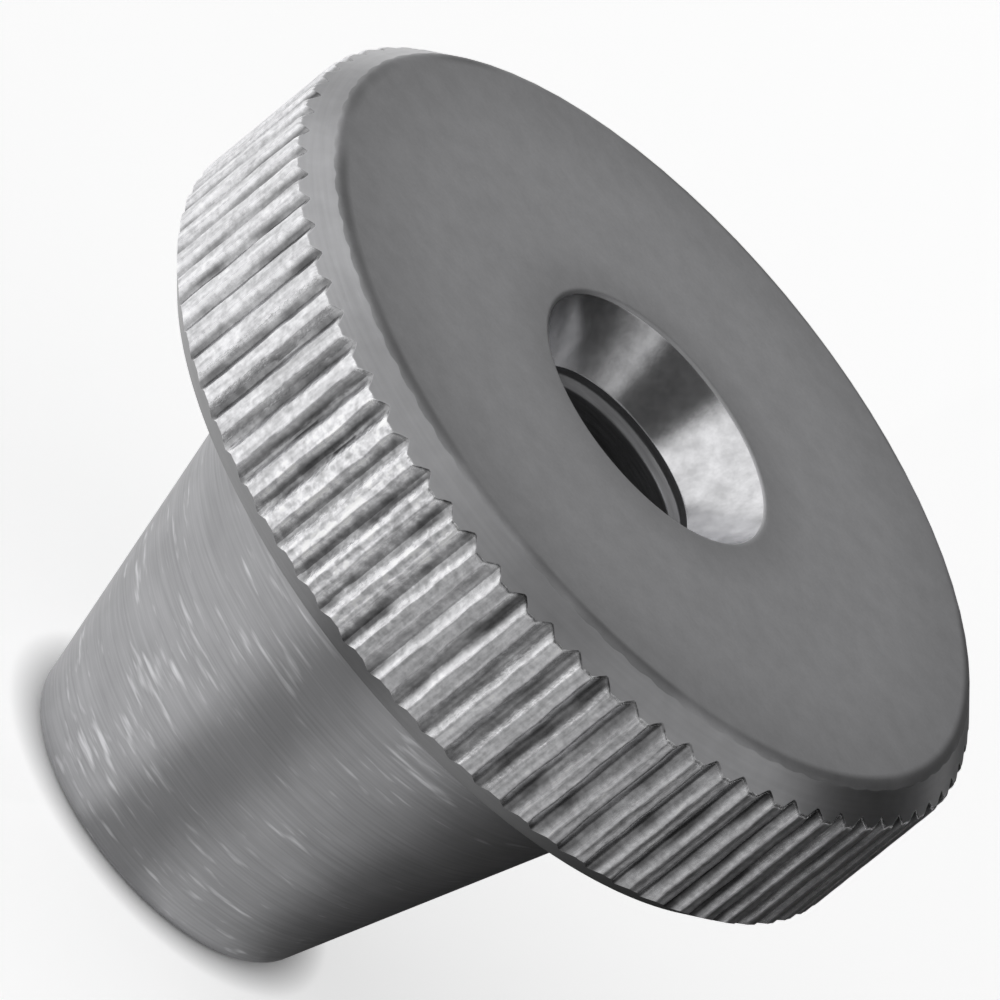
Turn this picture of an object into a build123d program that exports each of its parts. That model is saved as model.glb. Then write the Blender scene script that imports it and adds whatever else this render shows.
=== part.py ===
from build123d import *
from math import cos, radians, sin, tan, tau
import os

# A clamping knob turned from one bar of aluminium: a disc head with a straight-knurled rim,
# and behind it a tapered hub. A screw hole runs through it on the axis, and opens in the front
# face with a deep countersink. Millimetres. The axis is Z, the hub's end is at Z = 0, and the
# front face looks along +Z.

# Head
head_diameter = 38.1
head_thickness = 9.1
front_chamfer = 1.35
rear_chamfer = 1.2
front_edge_round = 0.6

# Hub
hub_length = 18.6
hub_base_diameter = 25.0
hub_end_diameter = 14.8
hub_end_round = 0.6

# Screw hole, for an 8 mm screw or stud. The countersink narrows to a short, straight lead-in,
# and a small chamfer leads from that to the hole
countersink_diameter = 12.3
countersink_angle = 60
lead_in_diameter = 9.0
lead_in_length = 0.35
hole_diameter = 8.4

# Knurl: straight ridges with flat lands, pressed in at about 16 to the inch
ridge_count = 76
groove_width = 0.80
groove_floor_width = 0.10
groove_depth = 0.34
first_groove_angle = 1.8

# Worked out from the sizes above
head_radius = head_diameter / 2
overall_length = hub_length + head_thickness
front_face_radius = head_radius - front_chamfer
rear_face_radius = head_radius - rear_chamfer
hole_chamfer = (lead_in_diameter - hole_diameter) / 2
countersink_depth = (countersink_diameter - lead_in_diameter) / 2 / tan(radians(countersink_angle / 2))
lead_in_depth = countersink_depth + lead_in_length
ridge_pitch_angle = 360 / ridge_count


def turned_blank():
    """The knob before knurling: one half section, revolved about Z."""
    hole = hole_diameter / 2
    lead_in = lead_in_diameter / 2
    front = overall_length
    corners = {
        "hole at the hub's end": (hole, 0),
        "hub end": (hub_end_diameter / 2, 0),
        "hub root": (hub_base_diameter / 2, hub_length),
        "rear face edge": (rear_face_radius, hub_length),
        "rim, rear": (head_radius, hub_length + rear_chamfer),
        "rim, front": (head_radius, front - front_chamfer),
        "front face edge": (front_face_radius, front),
        "countersink mouth": (countersink_diameter / 2, front),
        "lead-in, front": (lead_in, front - countersink_depth),
        "lead-in, rear": (lead_in, front - lead_in_depth),
        "hole, front": (hole, front - lead_in_depth - hole_chamfer),
    }
    section = make_face(Plane.XZ * Polyline(*corners.values(), close=True))
    for name, radius in (("hub end", hub_end_round), ("front face edge", front_edge_round)):
        x, z = corners[name]
        corner = section.vertices().sort_by_distance((x, 0, z))[0]
        section = fillet(corner, radius)
    return revolve(section, Axis.Z)


def on_circle(radius, angle):
    """A point at this radius and angle, in degrees, in the XY plane."""
    return (radius * cos(radians(angle)), radius * sin(radians(angle)))


def degrees_across(width):
    """The angle that a width takes up at the rim."""
    return 360 * width / (tau * head_radius)


def knurl_prism():
    """A prism with the rim's toothed outline, as tall as the head."""
    half_groove = degrees_across(groove_width) / 2
    half_floor = degrees_across(groove_floor_width) / 2
    floor_radius = head_radius - groove_depth
    edges = []
    for ridge in range(ridge_count):
        middle = first_groove_angle + ridge * ridge_pitch_angle
        land_middle = middle + ridge_pitch_angle / 2
        next_middle = middle + ridge_pitch_angle
        floor_start = on_circle(floor_radius, middle - half_floor)
        floor_end = on_circle(floor_radius, middle + half_floor)
        land_start = on_circle(head_radius, middle + half_groove)
        land_end = on_circle(head_radius, next_middle - half_groove)
        next_floor = on_circle(floor_radius, next_middle - half_floor)
        edges.append(Line(floor_start, floor_end))
        edges.append(Line(floor_end, land_start))
        edges.append(ThreePointArc(land_start, on_circle(head_radius, land_middle), land_end))
        edges.append(Line(land_end, next_floor))
    return extrude(Pos(0, 0, hub_length) * make_face(edges), head_thickness)


blank = turned_blank()
around_hub = Cylinder(head_radius, hub_length, align=(Align.CENTER, Align.CENTER, Align.MIN))
knurled_knob = blank & (knurl_prism() + around_hub)
knurled_knob.label = "knurled_knob"

os.makedirs("parts", exist_ok=True)
export_step(knurled_knob, "parts/knurled_knob.step")
print("overall length", overall_length, "mm, solids", len(knurled_knob.solids()))
print("hole from 0 to", round(overall_length - lead_in_depth - hole_chamfer, 3), "mm")
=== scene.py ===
"""A turned aluminium clamping knob with a straight-knurled rim, in a plain studio."""

import math
import random

import bmesh
import bpy
from mathutils import Matrix, Vector, noise


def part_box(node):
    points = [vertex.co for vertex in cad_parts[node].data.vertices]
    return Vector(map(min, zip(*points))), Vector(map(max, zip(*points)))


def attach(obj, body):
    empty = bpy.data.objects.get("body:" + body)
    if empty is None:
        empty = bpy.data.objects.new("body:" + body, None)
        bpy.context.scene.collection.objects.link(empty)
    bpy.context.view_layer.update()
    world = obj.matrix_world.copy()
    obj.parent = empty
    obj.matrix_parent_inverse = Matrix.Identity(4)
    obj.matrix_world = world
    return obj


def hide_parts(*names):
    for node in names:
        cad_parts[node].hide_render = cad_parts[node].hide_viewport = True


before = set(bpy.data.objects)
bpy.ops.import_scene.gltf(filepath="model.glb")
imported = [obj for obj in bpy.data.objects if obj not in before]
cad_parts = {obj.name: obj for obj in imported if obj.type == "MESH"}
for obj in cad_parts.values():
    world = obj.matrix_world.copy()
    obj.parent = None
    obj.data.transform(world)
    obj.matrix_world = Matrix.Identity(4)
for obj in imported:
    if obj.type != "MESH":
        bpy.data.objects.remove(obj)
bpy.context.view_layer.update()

MM = 0.001
knob_low, knob_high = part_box("knurled_knob")

# Sizes of the knob in millimetres. Its height and its head's radius come from the frame.
HEIGHT = (knob_high.z - knob_low.z) / MM
HEAD_RADIUS = (knob_high.x - knob_low.x) / 2 / MM
HUB_LENGTH = 18.6
HUB_BASE_RADIUS = 12.5
HUB_END_RADIUS = 7.4
REAR_CHAMFER = 1.2
FRONT_CHAMFER = 1.35
COUNTERSINK_RADIUS = 6.15
COUNTERSINK_ANGLE = math.radians(60)
LEAD_IN_RADIUS = 4.5
LEAD_IN_LENGTH = 0.35
HOLE_RADIUS = 4.2

REAR_FACE_RADIUS = HEAD_RADIUS - REAR_CHAMFER
FRONT_FACE_RADIUS = HEAD_RADIUS - FRONT_CHAMFER
RIM_REAR = HUB_LENGTH + REAR_CHAMFER
RIM_FRONT = HEIGHT - FRONT_CHAMFER
LEAD_IN_FRONT = HEIGHT - (COUNTERSINK_RADIUS - LEAD_IN_RADIUS) / math.tan(COUNTERSINK_ANGLE / 2)
LEAD_IN_REAR = LEAD_IN_FRONT - LEAD_IN_LENGTH
HOLE_FRONT = LEAD_IN_REAR - (LEAD_IN_RADIUS - HOLE_RADIUS)

# Knurl. The half section of a groove runs from the groove's middle to the ridge's middle, as
# (distance round the rim, depth below it): a narrow floor, a flank at 35 degrees, a lip where
# the wheel pushed the metal up, and a land that is a little hollow between its two lips.
RIDGE_COUNT = 76
FIRST_GROOVE_ANGLE = math.radians(1.8)
RIDGE_PITCH = math.tau * HEAD_RADIUS / RIDGE_COUNT
GROOVE_HALF_SECTION = (
    (0.06, 0.330),
    (0.27, 0.190),
    (0.43, 0.070),
    (0.51, 0.014),
    (0.58, 0.000),
    (0.67, 0.016),
    (RIDGE_PITCH / 2, 0.022),
)
GROOVE_SECTION = GROOVE_HALF_SECTION + tuple(
    (RIDGE_PITCH - distance, depth) for distance, depth in GROOVE_HALF_SECTION[-2::-1]
)
COLUMNS = RIDGE_COUNT * len(GROOVE_SECTION)
# How much shallower a groove may be, as a share of its depth
GROOVE_DEPTH_SPREAD = 0.12
# The lands are rough by this much, in grains of this size
LAND_ROUGHNESS = 0.014
LAND_GRAIN = 0.6
# The flanks stray sideways by this much, in waves of this length. The middles of a land and of a
# groove stay where they are.
FLANK_STRAY = 0.07
STRAY_LENGTH = 1.1
STRAYS_FROM_LAND_MIDDLE = 0.1
STRAYS_TO_GROOVE = 0.7
# Two faces that meet at less than this angle are shaded as one round surface
SMOOTH_BELOW = math.radians(38)


# ---------------------------------------------------------------- the turned blank


def rounded(before, corner, after, radius, steps):
    """The points of an arc that rounds the corner between two straight stretches."""
    before, corner, after = Vector(before), Vector(corner), Vector(after)
    to_before = (before - corner).normalized()
    to_after = (after - corner).normalized()
    half = to_before.angle(to_after) / 2
    centre = corner + (to_before + to_after).normalized() * (radius / math.sin(half))
    start = corner + to_before * (radius / math.tan(half)) - centre
    end = corner + to_after * (radius / math.tan(half)) - centre
    first = math.atan2(start.y, start.x)
    sweep = math.remainder(math.atan2(end.y, end.x) - first, math.tau)
    angles = [first + sweep * step / steps for step in range(steps + 1)]
    return [centre + radius * Vector((math.cos(angle), math.sin(angle))) for angle in angles]


# Next to each end of a flat stretch a row of points holds the surface flat, this far in
HOLD = 0.06


def stretch(start, end, rows):
    """Points between two arcs: one close to each end, to hold the surface flat, and rows between."""
    hold = HOLD / (end - start).length
    shares = [hold] + [row / rows for row in range(1, rows)] + [1 - hold]
    return [start.lerp(end, share) for share in shares]


def half_section():
    """The knob's closed half section, as (radius, height, finish of the stretch that follows)."""
    # radius, height, round and its steps, finish of the round, finish of the stretch after it
    # and the rows in that stretch
    corners = (
        (HOLE_RADIUS, 0, 0.25, 3, "turned", "turned", 1),
        (HUB_END_RADIUS, 0, 0.6, 5, "hub", "hub", 4),
        (HUB_BASE_RADIUS, HUB_LENGTH, 0.2, 3, "hub", "turned", 1),
        (REAR_FACE_RADIUS, HUB_LENGTH, 0.1, 2, "turned", "turned", 2),
        (HEAD_RADIUS, RIM_REAR, 0, 0, "knurl", "knurl", 18),
        (HEAD_RADIUS, RIM_FRONT, 0.3, 2, "knurl", "turned", 2),
        (FRONT_FACE_RADIUS, HEIGHT, 0.8, 6, "face", "face", 3),
        (COUNTERSINK_RADIUS, HEIGHT, 0.25, 3, "face", "bore", 3),
        (LEAD_IN_RADIUS, LEAD_IN_FRONT, 0.08, 2, "bore", "hole", 1),
        (LEAD_IN_RADIUS, LEAD_IN_REAR, 0.08, 2, "hole", "hole", 1),
        (HOLE_RADIUS, HOLE_FRONT, 0.1, 2, "hole", "hole", 3),
    )
    places = [Vector(corner[:2]) for corner in corners]
    arcs = []
    for index, (_, _, radius, steps, *_) in enumerate(corners):
        before, after = places[index - 1], places[(index + 1) % len(places)]
        if radius:
            arcs.append(rounded(before, places[index], after, radius, steps))
        else:
            arcs.append([places[index]])
    section = []
    for index, (*_, round_finish, finish, rows) in enumerate(corners):
        start, end = arcs[index][-1], arcs[(index + 1) % len(arcs)][0]
        section += [(*point, round_finish) for point in arcs[index][:-1]]
        section += [(*point, finish) for point in [start] + stretch(start, end, rows)]
    return section


def turned_blank(finishes):
    """The half section spun about the axis, with each face's finish as its material."""
    section = half_section()
    bm = bmesh.new()
    row_of = bm.verts.layers.int.new("row")
    loop = []
    for row, (radius, height, _) in enumerate(section):
        vertex = bm.verts.new((radius, 0, height))
        vertex[row_of] = row
        loop.append(vertex)
    edges = [bm.edges.new((loop[index - 1], loop[index])) for index in range(len(loop))]
    turn = {"axis": (0, 0, 1), "cent": (0, 0, 0)}
    one_ridge = math.tau / RIDGE_COUNT
    bmesh.ops.spin(bm, geom=loop + edges, angle=one_ridge, steps=len(GROOVE_SECTION), **turn)
    wedge = bm.verts[:] + bm.edges[:] + bm.faces[:]
    bmesh.ops.spin(
        bm, geom=wedge, angle=math.tau - one_ridge, steps=RIDGE_COUNT - 1, use_duplicate=True, **turn
    )
    bmesh.ops.remove_doubles(bm, verts=bm.verts, dist=0.001)
    last = len(section) - 1
    for face in bm.faces:
        rows = {vertex[row_of] for vertex in face.verts}
        first = last if rows == {0, last} else min(rows)
        face.material_index = finishes.index(section[first][2])
    bmesh.ops.recalc_face_normals(bm, faces=bm.faces)
    return bm


# ---------------------------------------------------------------- the knurl


def press_knurl(bm):
    """Presses the straight grooves into the rim, and lets them run out through both chamfers."""
    draw = random.Random(7)
    depth_of = [1 - draw.uniform(0, GROOVE_DEPTH_SPREAD) for _ in range(RIDGE_COUNT)]
    for vertex in bm.verts:
        radius, height = vertex.co.xy.length, vertex.co.z
        turn = math.atan2(vertex.co.y, vertex.co.x) % math.tau
        column = round(turn / math.tau * COLUMNS) % COLUMNS
        groove, place = divmod(column, len(GROOVE_SECTION))
        distance, depth = GROOVE_SECTION[place]
        before_land = distance < RIDGE_PITCH / 2
        nearest = groove if before_land else (groove + 1) % RIDGE_COUNT
        depth *= depth_of[nearest]
        # The knurl is at its full depth on the rim, and runs out over each chamfer
        share = lean = 0
        if radius > FRONT_FACE_RADIUS and height > HUB_LENGTH:
            lean = max(-1, min(1, 2 * (height - RIM_REAR) / (RIM_FRONT - RIM_REAR) - 1))
            edge, chamfer = FRONT_FACE_RADIUS, FRONT_CHAMFER
            if height < RIM_REAR:
                edge, chamfer = REAR_FACE_RADIUS, REAR_CHAMFER
            share = max(0, (radius - edge) / chamfer)
        # The factors 3.7, 5.3 and 2.1 only keep the noise of one groove or flank apart from the next
        depth += LAND_ROUGHNESS * (1 + noise.noise(Vector((distance, groove * 3.7, height)) / LAND_GRAIN))
        if STRAYS_FROM_LAND_MIDDLE < abs(distance - RIDGE_PITCH / 2) < STRAYS_TO_GROOVE:
            flank = nearest * 5.3 + before_land * 2.1
            distance += FLANK_STRAY * share * noise.noise(Vector((flank, 0, height / STRAY_LENGTH)))
        angle = FIRST_GROOVE_ANGLE + (groove * RIDGE_PITCH + distance) / HEAD_RADIUS
        radius -= depth * share
        height += depth * share * lean
        vertex.co = (radius * math.cos(angle), radius * math.sin(angle), height)


def make_knob():
    """The whole knob as one closed mesh, in metres, at the frame's place."""
    finishes = list(FINISHES)
    bm = turned_blank(finishes)
    press_knurl(bm)
    bmesh.ops.scale(bm, vec=(MM, MM, MM), verts=bm.verts)
    for face in bm.faces:
        face.smooth = True
    for edge in bm.edges:
        edge.smooth = edge.calc_face_angle(0) < SMOOTH_BELOW
    mesh = bpy.data.meshes.new("knob_body")
    bm.to_mesh(mesh)
    bm.free()
    for finish in finishes:
        mesh.materials.append(FINISHES[finish])
    knob = bpy.data.objects.new("knob_body", mesh)
    bpy.context.scene.collection.objects.link(knob)
    return knob


# ---------------------------------------------------------------- finishes


def srgb(code):
    """An sRGB hex colour as linear red, green, blue and alpha."""
    channels = [int(code[start : start + 2], 16) / 255 for start in (1, 3, 5)]
    return [c / 12.92 if c <= 0.04045 else ((c + 0.055) / 1.055) ** 2.4 for c in channels] + [1]


def add_node(tree, kind, inputs=None, **settings):
    """A node with its settings, and its inputs set to values or linked to sockets or to nodes."""
    node = tree.nodes.new("ShaderNode" + kind)
    for name, value in settings.items():
        setattr(node, name, value)
    for name, value in (inputs or {}).items():
        if isinstance(value, bpy.types.Node):
            value = value.outputs[0]
        if isinstance(value, bpy.types.NodeSocket):
            tree.links.new(value, node.inputs[name])
        else:
            node.inputs[name].default_value = value
    return node


def new_material(name):
    """An empty material, as the material and its node tree."""
    material = bpy.data.materials.new(name)
    material.use_nodes = True
    material.node_tree.nodes.clear()
    return material, material.node_tree


def from_the_axis(tree, place):
    """How far a place is from the knob's axis, in metres."""
    outwards = add_node(tree, "VectorMath", {0: place, 1: (1, 1, 0)}, operation="MULTIPLY")
    return add_node(tree, "VectorMath", {0: outwards}, operation="LENGTH").outputs["Value"]


def away_from_axis(tree, place):
    """The level direction from the knob's axis to a place, one unit long."""
    outwards = add_node(tree, "VectorMath", {0: place, 1: (1, 1, 0)}, operation="MULTIPLY")
    return add_node(tree, "VectorMath", {0: outwards}, operation="NORMALIZE")


def round_the_axis(tree, place, radius, length, width):
    """Coordinates for marks that a lathe leaves: length mm round the axis, and width mm along it."""
    along = add_node(tree, "VectorMath", {0: place, 1: (0, 0, 1 / (width * MM))}, operation="MULTIPLY")
    away = away_from_axis(tree, place)
    stretched = {0: away, 1: (radius / length, radius / length, 0), 2: along}
    return add_node(tree, "VectorMath", stretched, operation="MULTIPLY_ADD")


def nearness_to_side(tree, place, side):
    """1 on the side of the knob that looks at the angle, and less the further round a place is."""
    away = away_from_axis(tree, place)
    both = {0: away, 1: (math.cos(side), math.sin(side), 0)}
    return add_node(tree, "VectorMath", both, operation="DOT_PRODUCT").outputs["Value"]


def metal_surface(tree, colour, tone, **inputs):
    """A bare metal of the colour, made darker or lighter by the tone, and the tree's output."""
    base = add_node(tree, "VectorMath", {0: srgb(colour)[:3], "Scale": tone}, operation="SCALE")
    inputs = {name.replace("_", " "): value for name, value in inputs.items()}
    if "Anisotropic" in inputs:
        # The lathe's marks run round the axis, and draw the sheen out across them
        inputs["Tangent"] = add_node(tree, "Tangent", direction_type="RADIAL", axis="Z")
        inputs["Anisotropic Rotation"] = 0.25
    shader = add_node(tree, "BsdfPrincipled", {"Base Color": base, "Metallic": 1, **inputs})
    add_node(tree, "OutputMaterial", {"Surface": shader})


# A noise pattern's Scale is 1 over the size of its cells. Inputs 1 to 4 of Map Range are the low and
# high ends that it takes in, and the low and high ends that it gives out.


def fine_turned():
    """Fine turned aluminium, on the chamfers and the hub's end: an even sheen, and painted shade on the
    faces to the rear of the rim.
    """
    material, tree = new_material("fine_turned_aluminium")
    place = add_node(tree, "TexCoord").outputs["Object"]
    marks = round_the_axis(tree, place, HEAD_RADIUS, 6, 0.15)
    rings = add_node(tree, "TexNoise", {"Vector": marks, "Scale": 1, "Detail": 3})
    clouds = add_node(tree, "TexNoise", {"Vector": place, "Scale": 1 / (0.9 * MM), "Detail": 3})
    both = add_node(tree, "Math", {0: rings, 1: clouds}, operation="ADD")
    tone = add_node(tree, "MapRange", {0: both, 1: 0.7, 2: 1.3, 3: 0.93, 4: 1.07})
    height = add_node(tree, "SeparateXYZ", {0: place}).outputs["Z"]
    # Painted shade: the turned faces to the rear of the rim are darkened to a third
    shade_behind_rim = {0: height, 1: RIM_REAR * MM, 2: RIM_FRONT * MM, 3: 0.34, 4: 1}
    shade_behind_rim = add_node(tree, "MapRange", shade_behind_rim)
    tone = add_node(tree, "Math", {0: tone, 1: shade_behind_rim}, operation="MULTIPLY")
    relief = add_node(tree, "Bump", {"Height": rings, "Distance": 0.004 * MM})
    metal_surface(tree, "#c4c4c6", tone, Roughness=0.34, Anisotropic=0.5, Normal=relief)
    return material


# Half way along the hub, where its marks have their size
HUB_MIDDLE_RADIUS = 10
# The sides on which the hub is worn by rubbing and its streaks carry most of a painted sheen, and how
# strongly
RUBBED_AND_SHEEN_SIDES = ((math.radians(250), 0.11), (math.radians(291), 0.07))


def hub_turned():
    """Turned aluminium on the hub: fine marks draw the sheen out, with short streaks worn smooth and
    painted brighter as a painted sheen, most of them on two sides.
    """
    material, tree = new_material("lathe_turned_aluminium")
    place = add_node(tree, "TexCoord").outputs["Object"]
    marks = round_the_axis(tree, place, HUB_MIDDLE_RADIUS, 2.4, 0.3)
    marks = add_node(tree, "TexNoise", {"Vector": marks, "Scale": 1, "Detail": 2, "Roughness": 0.5})
    handled = round_the_axis(tree, place, HUB_MIDDLE_RADIUS, 5, 3)
    handled = add_node(tree, "TexNoise", {"Vector": handled, "Scale": 1, "Detail": 2})
    # A mark becomes a streak where it is above the threshold, which is lower on the two sides worn by
    # rubbing, where the painted sheen gathers
    threshold = add_node(tree, "MapRange", {0: handled, 1: 0.35, 2: 0.65, 3: 0.72, 4: 0.59})
    for side, strength in RUBBED_AND_SHEEN_SIDES:
        rubbed_and_sheen = {0: nearness_to_side(tree, place, side), 1: 0.95, 2: 0.99, 3: 0, 4: strength}
        rubbed_and_sheen = add_node(tree, "MapRange", rubbed_and_sheen)
        threshold = add_node(tree, "Math", {0: threshold, 1: rubbed_and_sheen}, operation="SUBTRACT")
    above = add_node(tree, "Math", {0: marks, 1: threshold}, operation="SUBTRACT")
    streaks = add_node(tree, "MapRange", {0: above, 1: 0, 2: 0.18, 3: 0, 4: 1})
    fine = round_the_axis(tree, place, HUB_MIDDLE_RADIUS, 5, 0.12)
    fine = add_node(tree, "TexNoise", {"Vector": fine, "Scale": 1, "Detail": 2})
    grey = add_node(tree, "MapRange", {0: fine, 1: 0.3, 2: 0.7, 3: 0.89, 4: 1.07})
    clouds = add_node(tree, "TexNoise", {"Vector": place, "Scale": 1 / (2.5 * MM), "Detail": 2})
    clouded = add_node(tree, "MapRange", {0: clouds, 1: 0.3, 2: 0.7, 3: 0.94, 4: 1.06})
    grey = add_node(tree, "Math", {0: grey, 1: clouded}, operation="MULTIPLY")
    # Painted sheen: the streaks are painted brighter, and they are also smoother
    tone = add_node(tree, "Math", {0: streaks, 1: 0.6, 2: grey}, operation="MULTIPLY_ADD")
    rough = add_node(tree, "MapRange", {0: streaks, 3: 0.5, 4: 0.38})
    relief = add_node(tree, "Bump", {"Height": fine, "Distance": 0.003 * MM})
    metal_surface(tree, "#b1b1b3", tone, Roughness=rough, Anisotropic=0.8, Normal=relief)
    return material


# One side of the knurl is worn by scuffing, and there its ridges carry bright and dull specks, partly
# painted glints
SCUFFED_AND_GLINT_SIDE = math.radians(257)


def knurled():
    """Knurled aluminium: streaked and mottled lands, smoother flanks, and grime with painted shade in the
    roots.
    """
    material, tree = new_material("knurled_aluminium")
    place = add_node(tree, "TexCoord").outputs["Object"]
    mottle = {"Vector": place, "Scale": 1 / (0.3 * MM), "Detail": 2, "Roughness": 0.6}
    mottle = add_node(tree, "TexNoise", mottle)
    speckle = add_node(tree, "MapRange", {0: mottle, 1: 0.3, 2: 0.7, 3: 0.8, 4: 1.2})
    drags = round_the_axis(tree, place, HEAD_RADIUS, 0.34, 2.6)
    drags = {"Vector": drags, "Scale": 1, "Detail": 3, "Roughness": 0.6}
    drags = add_node(tree, "TexNoise", drags)
    dragged = add_node(tree, "MapRange", {0: drags, 1: 0.3, 2: 0.7, 3: 0.74, 4: 1.26})
    depth = {0: HEAD_RADIUS * MM, 1: from_the_axis(tree, place)}
    depth = add_node(tree, "Math", depth, operation="SUBTRACT")
    burnish = {0: depth, 1: 0.045 * MM, 2: 0.10 * MM, 3: 0.92, 4: 0.98}
    burnish = add_node(tree, "MapRange", burnish)
    # Darker groove roots, in patches: grime and painted shade
    patches = round_the_axis(tree, place, HEAD_RADIUS, 1.2, 3)
    patches = add_node(tree, "TexNoise", {"Vector": patches, "Scale": 1, "Detail": 2})
    dirt_and_shade = add_node(tree, "MapRange", {0: patches, 1: 0.35, 2: 0.65, 3: 0.62, 4: 0.14})
    clean = {0: depth, 1: 0.09 * MM, 2: 0.25 * MM, 3: 1, 4: dirt_and_shade}
    clean = add_node(tree, "MapRange", clean)
    tone = add_node(tree, "Math", {0: burnish, 1: clean}, operation="MULTIPLY")
    tone = add_node(tree, "Math", {0: tone, 1: speckle}, operation="MULTIPLY")
    tone = add_node(tree, "Math", {0: tone, 1: dragged}, operation="MULTIPLY")
    scuffed_and_glints = {0: nearness_to_side(tree, place, SCUFFED_AND_GLINT_SIDE), 1: 0.96, 2: 0.99, 3: 0, 4: 1}
    scuffed_and_glints = add_node(tree, "MapRange", scuffed_and_glints)
    # Bright and dull specks on that side: wear from scuffing, and painted glints
    specks = {"Vector": place, "Scale": 1 / (0.45 * MM), "Detail": 2, "Roughness": 0.6}
    specks = add_node(tree, "TexNoise", specks)
    specked = add_node(tree, "MapRange", {0: specks, 1: 0.4, 2: 0.6, 3: -0.14, 4: 0.3})
    specked = add_node(tree, "Math", {0: specked, 1: scuffed_and_glints, 2: 1}, operation="MULTIPLY_ADD")
    tone = add_node(tree, "Math", {0: tone, 1: specked}, operation="MULTIPLY")
    height = add_node(tree, "Math", {0: mottle, 1: drags}, operation="ADD")
    relief = add_node(tree, "Bump", {"Height": height, "Distance": 0.02 * MM})
    rough = add_node(tree, "MapRange", {0: depth, 1: 0.03 * MM, 2: 0.08 * MM, 3: 0.31, 4: 0.25})
    metal_surface(tree, "#eaeaec", tone, Roughness=rough, Normal=relief)
    return material


def dulled():
    """The front face, dulled with fine grit: matt, faintly clouded, and darker towards both edges with
    painted shade.
    """
    material, tree = new_material("dulled_aluminium")
    place = add_node(tree, "TexCoord").outputs["Object"]
    clouds = {"Vector": place, "Scale": 1 / (1.0 * MM), "Detail": 3, "Roughness": 0.6}
    clouds = add_node(tree, "TexNoise", clouds)
    grit = add_node(tree, "TexNoise", {"Vector": place, "Scale": 1 / (0.16 * MM), "Detail": 1})
    clouded = add_node(tree, "MapRange", {0: clouds, 1: 0.3, 2: 0.7, 3: 0.955, 4: 1.045})
    gritty = add_node(tree, "MapRange", {0: grit, 1: 0.3, 2: 0.7, 3: 0.98, 4: 1.02})
    radius = from_the_axis(tree, place)
    # Painted shade towards the outer edge, where the face rolls off
    rim_shade = {0: radius, 1: 13 * MM, 2: FRONT_FACE_RADIUS * MM, 3: 1, 4: 0.82}
    rim_shade = add_node(tree, "MapRange", rim_shade)
    # Darker along the rounded edge, here and there
    patches = add_node(tree, "TexNoise", {"Vector": place, "Scale": 1 / (6 * MM), "Detail": 2})
    patchy_edge_darkening = add_node(tree, "MapRange", {0: patches, 1: 0.4, 2: 0.6, 3: 0.66, 4: 0.98})
    edge_shade = {0: radius, 1: 17.25 * MM, 2: 17.55 * MM, 3: 1, 4: patchy_edge_darkening}
    edge_shade = add_node(tree, "MapRange", edge_shade)
    # Painted shade towards the countersink's mouth
    mouth_shade = {0: radius, 1: COUNTERSINK_RADIUS * MM, 2: 8.5 * MM, 3: 0.82, 4: 1}
    mouth_shade = add_node(tree, "MapRange", mouth_shade)
    tone = add_node(tree, "Math", {0: clouded, 1: gritty}, operation="MULTIPLY")
    tone = add_node(tree, "Math", {0: tone, 1: rim_shade}, operation="MULTIPLY")
    tone = add_node(tree, "Math", {0: tone, 1: edge_shade}, operation="MULTIPLY")
    tone = add_node(tree, "Math", {0: tone, 1: mouth_shade}, operation="MULTIPLY")
    relief = add_node(tree, "Bump", {"Height": grit, "Distance": 0.003 * MM})
    metal_surface(tree, "#dbdbdd", tone, Roughness=0.5, Normal=relief)
    return material


def countersunk():
    """The cut wall of the countersink: clean and bright, and mottled."""
    material, tree = new_material("countersunk_aluminium")
    place = add_node(tree, "TexCoord").outputs["Object"]
    mottle = {"Vector": place, "Scale": 1 / (0.7 * MM), "Detail": 3, "Roughness": 0.6}
    mottle = add_node(tree, "TexNoise", mottle)
    tone = add_node(tree, "MapRange", {0: mottle, 1: 0.3, 2: 0.7, 3: 0.8, 4: 1.15})
    relief = add_node(tree, "Bump", {"Height": mottle, "Distance": 0.006 * MM})
    metal_surface(tree, "#dadadc", tone, Roughness=0.21, Anisotropic=0.2, Normal=relief)
    return material


def drilled():
    """The wall of the drilled hole and its lead-in: rougher than the countersink, and grey."""
    material, tree = new_material("drilled_aluminium")
    place = add_node(tree, "TexCoord").outputs["Object"]
    marks = round_the_axis(tree, place, HOLE_RADIUS, 2, 0.15)
    marks = add_node(tree, "TexNoise", {"Vector": marks, "Scale": 1, "Detail": 3})
    tone = add_node(tree, "MapRange", {0: marks, 1: 0.3, 2: 0.7, 3: 0.8, 4: 1.15})
    relief = add_node(tree, "Bump", {"Height": marks, "Distance": 0.01 * MM})
    metal_surface(tree, "#a0a0a2", tone, Roughness=0.5, Normal=relief)
    return material


FINISHES = {
    "turned": fine_turned(),
    "hub": hub_turned(),
    "knurl": knurled(),
    "face": dulled(),
    "bore": countersunk(),
    "hole": drilled(),
}


# ---------------------------------------------------------------- studio

# The camera stands low in front of the upright knob, and is rolled, with a long lens
VIEW_ELEVATION = math.radians(24.289)
VIEW_ROLL = math.radians(39.068)
VIEW_DISTANCE = 50 * HEAD_RADIUS * MM
FRAME_WIDTH = 39.70 * MM
FACE_RIGHT_OF_MIDDLE = 6.282 * MM
FACE_ABOVE_MIDDLE = 3.301 * MM


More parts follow.
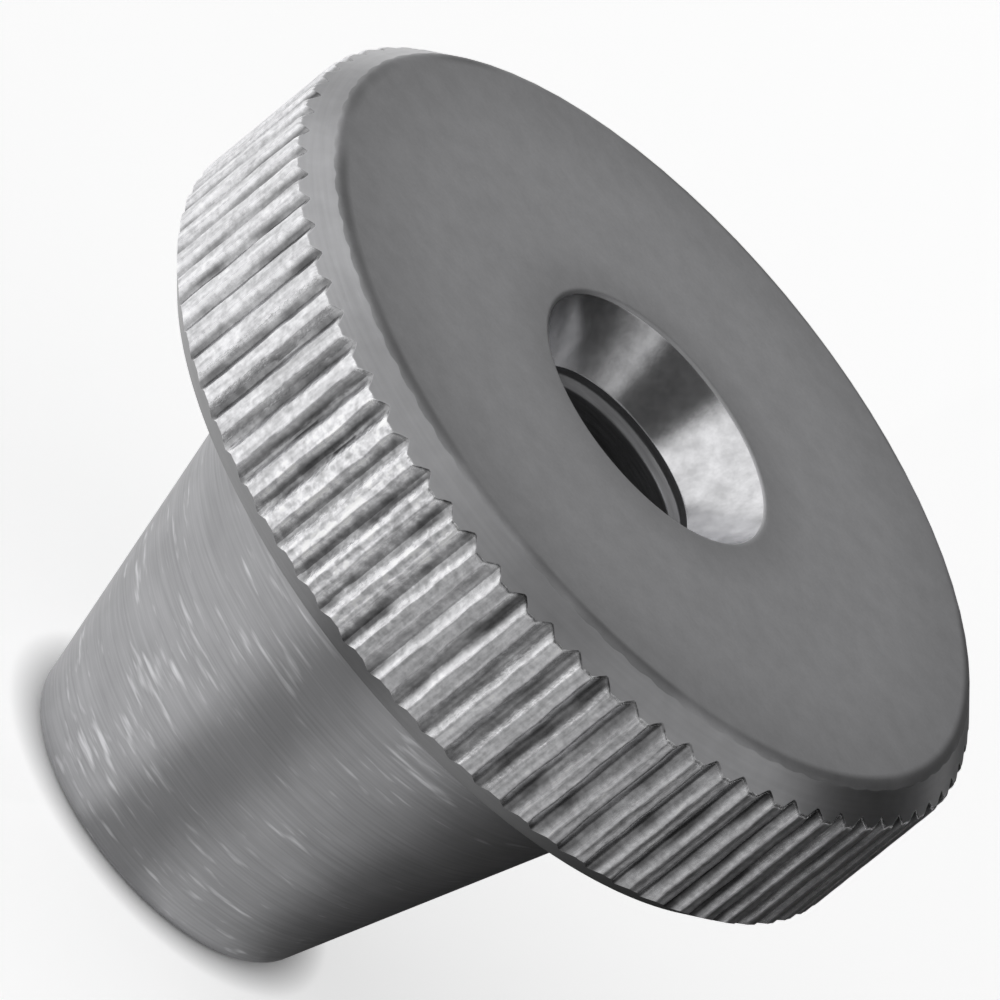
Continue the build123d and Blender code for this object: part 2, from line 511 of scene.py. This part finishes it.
def place_camera():
    """The camera, aimed so that the front face's centre is right of the view's middle and above it."""
    camera = bpy.data.cameras.new("camera")
    camera.sensor_width = 36
    camera.lens = camera.sensor_width * VIEW_DISTANCE / FRAME_WIDTH
    camera.clip_start, camera.clip_end = 0.05, 20
    eye = bpy.data.objects.new("camera", camera)
    bpy.context.scene.collection.objects.link(eye)
    backwards = Vector((0, -math.cos(VIEW_ELEVATION), math.sin(VIEW_ELEVATION)))
    level = Vector((1, 0, 0))
    upright = backwards.cross(level)
    right = math.cos(VIEW_ROLL) * upright + math.sin(VIEW_ROLL) * level
    up = backwards.cross(right)
    face_centre = Vector((0, 0, knob_high.z))
    middle = face_centre - right * FACE_RIGHT_OF_MIDDLE - up * FACE_ABOVE_MIDDLE
    turn = Matrix((right, up, backwards)).transposed()
    eye.matrix_world = Matrix.Translation(middle + backwards * VIEW_DISTANCE) @ turn.to_4x4()
    bpy.context.scene.camera = eye


# The studio's wall is white on the left. In front it is grey low down and high up, and dark between.
# On the right it is grey, and darker low down, and at the back it is dark up to half its height.
# Each band of it goes round by the compass, as degrees from +X, with its tone there.
LOW_WALL = (
    (-180, "#ffffff"),
    (-116, "#ffffff"),
    (-104, "#a8a8a8"),
    (-84, "#9c9c9c"),
    (-65, "#b8b8b8"),
    (-40, "#aaaaaa"),
    (-15, "#5c5c5c"),
    (10, "#383838"),
    (40, "#272727"),
    (98, "#272727"),
    (125, "#b7b7b7"),
    (150, "#ffffff"),
    (180, "#ffffff"),
)
# Painted reflection: the glowing sheet's tones near the knob, paler than the low wall
NEAR_REFLECTION_TONES = (
    (-180, "#ffffff"),
    (-116, "#ffffff"),
    (-104, "#a8a8a8"),
    (-84, "#a8a8a8"),
    (-65, "#e6e6e6"),
    (-40, "#d0d0d0"),
    (-15, "#727272"),
    (10, "#444444"),
    (40, "#272727"),
    (180, "#272727"),
)
MIDDLE_WALL = (
    (-180, "#ffffff"),
    (-125, "#ffffff"),
    (-106, "#313131"),
    (-50, "#313131"),
    (-38, "#c7c7c7"),
    (-24, "#b4b4b4"),
    (-12, "#a0a0a0"),
    (2, "#acacac"),
    (20, "#cccccc"),
    (32, "#606060"),
    (50, "#272727"),
    (120, "#272727"),
    (150, "#cbcbcb"),
    (180, "#ffffff"),
)
HIGH_WALL = (
    (-180, "#929292"),
    (-120, "#c1c1c1"),
    (-60, "#848484"),
    (0, "#aaaaaa"),
    (60, "#929292"),
    (120, "#737373"),
    (180, "#929292"),
)
# The two upper bands start at these heights, as the sine of the angle above the level, and blend
# with the band below them over this much to each side
MIDDLE_WALL_STARTS = math.sin(math.radians(27))
HIGH_WALL_STARTS = math.sin(math.radians(45))
BAND_BLEND = 0.04


def wall(tree, place, tones):
    """The tone of a wall that goes round by the compass."""
    compass = add_node(tree, "TexGradient", {"Vector": place}, gradient_type="RADIAL")
    ramp = add_node(tree, "ValToRGB", {"Fac": compass.outputs["Fac"]})
    stops = ramp.color_ramp.elements
    stops.remove(stops[1])
    for index, (degrees, tone) in enumerate(tones):
        stop = stops.new(degrees / 360 + 0.5) if index else stops[0]
        stop.position = degrees / 360 + 0.5
        stop.color = srgb(tone)
    return ramp


def light_world():
    """The studio's wall, as the world's light: three bands, one above the other."""
    world = bpy.data.worlds.new("studio")
    bpy.context.scene.world = world
    world.use_nodes = True
    tree = world.node_tree
    tree.nodes.clear()
    place = add_node(tree, "TexCoord").outputs["Generated"]
    height = add_node(tree, "SeparateXYZ", {0: place}).outputs["Z"]
    room = wall(tree, place, LOW_WALL)
    for start, tones in ((MIDDLE_WALL_STARTS, MIDDLE_WALL), (HIGH_WALL_STARTS, HIGH_WALL)):
        above = add_node(tree, "MapRange", {0: height, 1: start - BAND_BLEND, 2: start + BAND_BLEND})
        # Inputs 6 and 7 of a colour mix are its two colours, and output 2 is what it gives out
        walls = {0: above, 6: room, 7: wall(tree, place, tones)}
        room = add_node(tree, "Mix", walls, data_type="RGBA").outputs[2]
    add_node(tree, "OutputWorld", {"Surface": add_node(tree, "Background", {"Color": room})})


# From the front face to a lamp, in metres
LAMP_DISTANCE = 0.3


def hang_lamp(name, compass, elevation, width, height, power):
    """A soft lamp of width by height metres that faces the knob, from degrees round and degrees up."""
    lamp = bpy.data.lights.new(name, "AREA")
    lamp.shape = "RECTANGLE"
    lamp.size, lamp.size_y = width, height
    lamp.energy = power
    holder = bpy.data.objects.new(name, lamp)
    bpy.context.scene.collection.objects.link(holder)
    compass, elevation = math.radians(compass), math.radians(elevation)
    level = math.cos(elevation)
    away = Vector((level * math.cos(compass), level * math.sin(compass), math.sin(elevation)))
    holder.location = Vector((0, 0, HEIGHT * MM)) + away * LAMP_DISTANCE
    holder.rotation_euler = away.to_track_quat("Z", "Y").to_euler()
    holder.visible_camera = False


# How brightly the camera and the metal see the paper, besides the light that falls on it
PAPER_GLOW = 0.62


def make_floor():
    """White paper under the knob, which keeps the knob's shadow."""
    bm = bmesh.new()
    bmesh.ops.create_circle(bm, cap_ends=True, segments=96, radius=3)
    mesh = bpy.data.meshes.new("floor")
    bm.to_mesh(mesh)
    bm.free()
    floor = bpy.data.objects.new("floor", mesh)
    bpy.context.scene.collection.objects.link(floor)
    material, tree = new_material("white_paper")
    ray = add_node(tree, "LightPath").outputs
    seen = {0: ray["Is Camera Ray"], 1: ray["Is Glossy Ray"]}
    seen = add_node(tree, "Math", seen, operation="MAXIMUM")
    seen = add_node(tree, "Math", {0: seen, 1: ray["Is Transmission Ray"]}, operation="MAXIMUM")
    # The paper has no glow under the hub's end: a painted contact shadow
    place = add_node(tree, "TexCoord").outputs["Object"]
    glow_outside_painted_shadow = {0: from_the_axis(tree, place), 1: 7 * MM, 2: 9 * MM, 3: 0, 4: PAPER_GLOW}
    glow_outside_painted_shadow = add_node(tree, "MapRange", glow_outside_painted_shadow)
    glow = add_node(tree, "Math", {0: seen, 1: glow_outside_painted_shadow}, operation="MULTIPLY")
    paper = {"Base Color": srgb("#f4f4f4"), "Roughness": 0.9}
    paper |= {"Emission Color": srgb("#ffffff"), "Emission Strength": glow}
    add_node(tree, "OutputMaterial", {"Surface": add_node(tree, "BsdfPrincipled", paper)})
    mesh.materials.append(material)


# The card's inner edge is just outside the hub's end, and its outer one is half a metre out
CARD_INNER = 7.7 * MM
CARD_OUTER = 0.5
CARD_LIFT = 0.05 * MM
CARD_FIRST = math.radians(-112)
CARD_LAST = math.radians(85)


def lay_reflection_card():
    """A sheet laid round the front and right of the knob that glows as a painted reflection, as dark as
    the low wall beyond it.

    It is paler near the knob, and seen only by the metal.
    """
    bm = bmesh.new()
    ends = [bm.verts.new((CARD_INNER, 0, CARD_LIFT)), bm.verts.new((CARD_OUTER, 0, CARD_LIFT))]
    edge = bm.edges.new(ends)
    bmesh.ops.rotate(bm, verts=ends, matrix=Matrix.Rotation(CARD_FIRST, 3, "Z"))
    sweep = {"angle": CARD_LAST - CARD_FIRST, "steps": 48, "axis": (0, 0, 1), "cent": (0, 0, 0)}
    bmesh.ops.spin(bm, geom=ends + [edge], **sweep)
    mesh = bpy.data.meshes.new("card")
    bm.to_mesh(mesh)
    bm.free()
    card = bpy.data.objects.new("card", mesh)
    bpy.context.scene.collection.objects.link(card)
    card.visible_camera = card.visible_diffuse = card.visible_shadow = False
    material, tree = new_material("painted_reflection_sheet")
    place = add_node(tree, "TexCoord").outputs["Object"]
    far = add_node(tree, "MapRange", {0: from_the_axis(tree, place), 1: 30 * MM, 2: 45 * MM})
    tones = {0: far, 6: wall(tree, place, NEAR_REFLECTION_TONES), 7: wall(tree, place, LOW_WALL)}
    tones = add_node(tree, "Mix", tones, data_type="RGBA").outputs[2]
    glow = add_node(tree, "Emission", {"Color": tones})
    add_node(tree, "OutputMaterial", {"Surface": glow})
    mesh.materials.append(material)


knob = make_knob()
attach(knob, "root")
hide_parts("knurled_knob")
place_camera()
make_floor()
lay_reflection_card()
light_world()
hang_lamp("back_lamp", 95, 26, 0.16, 0.11, 0.026)

scene = bpy.context.scene
scene.view_settings.view_transform = "Standard"
